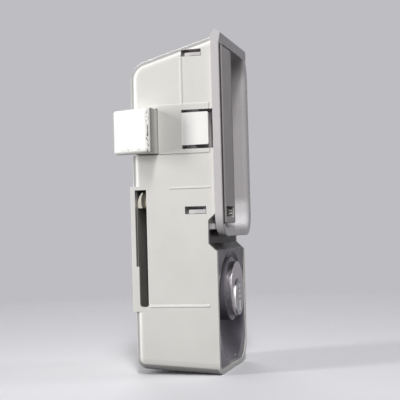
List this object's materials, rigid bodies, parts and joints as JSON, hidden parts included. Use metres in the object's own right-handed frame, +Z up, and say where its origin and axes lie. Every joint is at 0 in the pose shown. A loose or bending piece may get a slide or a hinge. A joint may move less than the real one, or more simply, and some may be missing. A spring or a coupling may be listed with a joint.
{
  "type": "recessed locker handle lock",
  "caption": "Recessed handle lock for a sheet metal locker door: moulded housing, finger cup with pull paddle, sprung slanted latch bolt and a keyed hook cam.",
  "frame": {"origin": "on the door's front face (the back of the frame round the finger cup), halfway across the lock and about halfway up", "axes": "-Y is the outward normal of the door, so +Y goes into the locker; +Z is up; the latch bolt leaves the housing towards -X"},
  "size_m": [0.068, 0.0478, 0.1467],
  "materials": {
    "housing_plastic": "satin moulded",
    "cup_plastic": "fine matt grain",
    "paddle_plastic": "fine matt grain",
    "dish_plastic": "fine matt grain",
    "bolt_plastic": "smooth moulded",
    "steel": "zinc plated",
    "chrome": "bright",
    "brass": "drawn"
  },
  "bodies": {
    "lock_case": {"housing": "housing_plastic", "handle_cup": "cup_plastic", "lock_dish": "dish_plastic", "paddle_pin": "steel", "paddle_spring": "steel", "bolt_guide_plate": "housing_plastic", "guide_plate_screws": "steel", "bolt_spring": "steel", "lock_barrel": "chrome", "driver_pins": "brass", "pin_springs": "steel", "pin_cover": "brass", "barrel_clip": "steel"},
    "paddle": {"handle_paddle": "paddle_plastic"},
    "bolt": {"latch_bolt": "bolt_plastic"},
    "plug": {"lock_plug": "chrome", "key_pins": "brass", "stop_washer": "steel", "cam_spacer": "steel", "hook_cam": "steel", "cam_washer": "steel", "cam_screw": "steel"}
  },
  "joints": [
    {"name": "paddle_swing", "type": "hinge", "parent": "lock_case", "child": "paddle", "pos_m": [-0.0205, 0.0005, 0.028], "axis": [0, 0, -1], "range_deg": [0, 20.75], "stiffness_Nm_per_rad": 0.05, "springref_deg": -20.05, "deforming": ["paddle_spring"]},
    {"name": "bolt_slide", "type": "slide", "parent": "lock_case", "child": "bolt", "axis": [1, 0, 0], "range_m": [0, 0.0104], "stiffness_N_per_m": 300, "springref_m": -0.01, "deforming": ["bolt_spring"]},
    {"name": "key_turn", "type": "hinge", "parent": "lock_case", "child": "plug", "pos_m": [0, 0.015, -0.04275], "axis": [0, -1, 0], "range_deg": [0, 90]}
  ],
  "couplings": [
    {"joint": "paddle_swing", "follows": "bolt_slide", "rad_per_m": 34.746}
  ]
}
